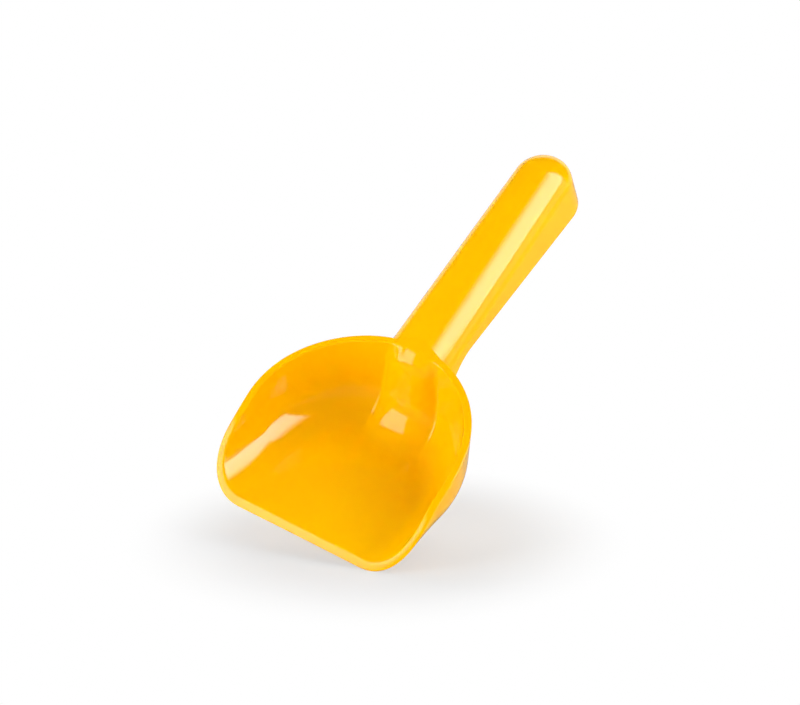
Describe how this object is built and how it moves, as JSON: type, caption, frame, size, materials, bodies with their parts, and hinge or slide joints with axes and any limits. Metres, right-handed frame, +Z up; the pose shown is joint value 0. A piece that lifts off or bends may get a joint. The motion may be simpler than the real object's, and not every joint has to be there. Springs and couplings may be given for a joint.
{
  "type": "sand shovel",
  "caption": "Yellow moulded sand shovel for small children, with a round-backed open scoop, a straight lip and a channel-shaped grip.",
  "frame": {"origin": "on the underside of the scoop's flat floor, below the centre of its round back", "axes": "+Y from the lip along the grip, +Z up out of the open scoop, +X to the right when the lip points at the viewer's feet"},
  "size_m": [0.0956, 0.1877, 0.0749],
  "materials": {
    "moulding": "glossy moulded"
  },
  "bodies": {
    "root": {"scoop": "moulding", "grip": "moulding"}
  },
  "joints": []
}
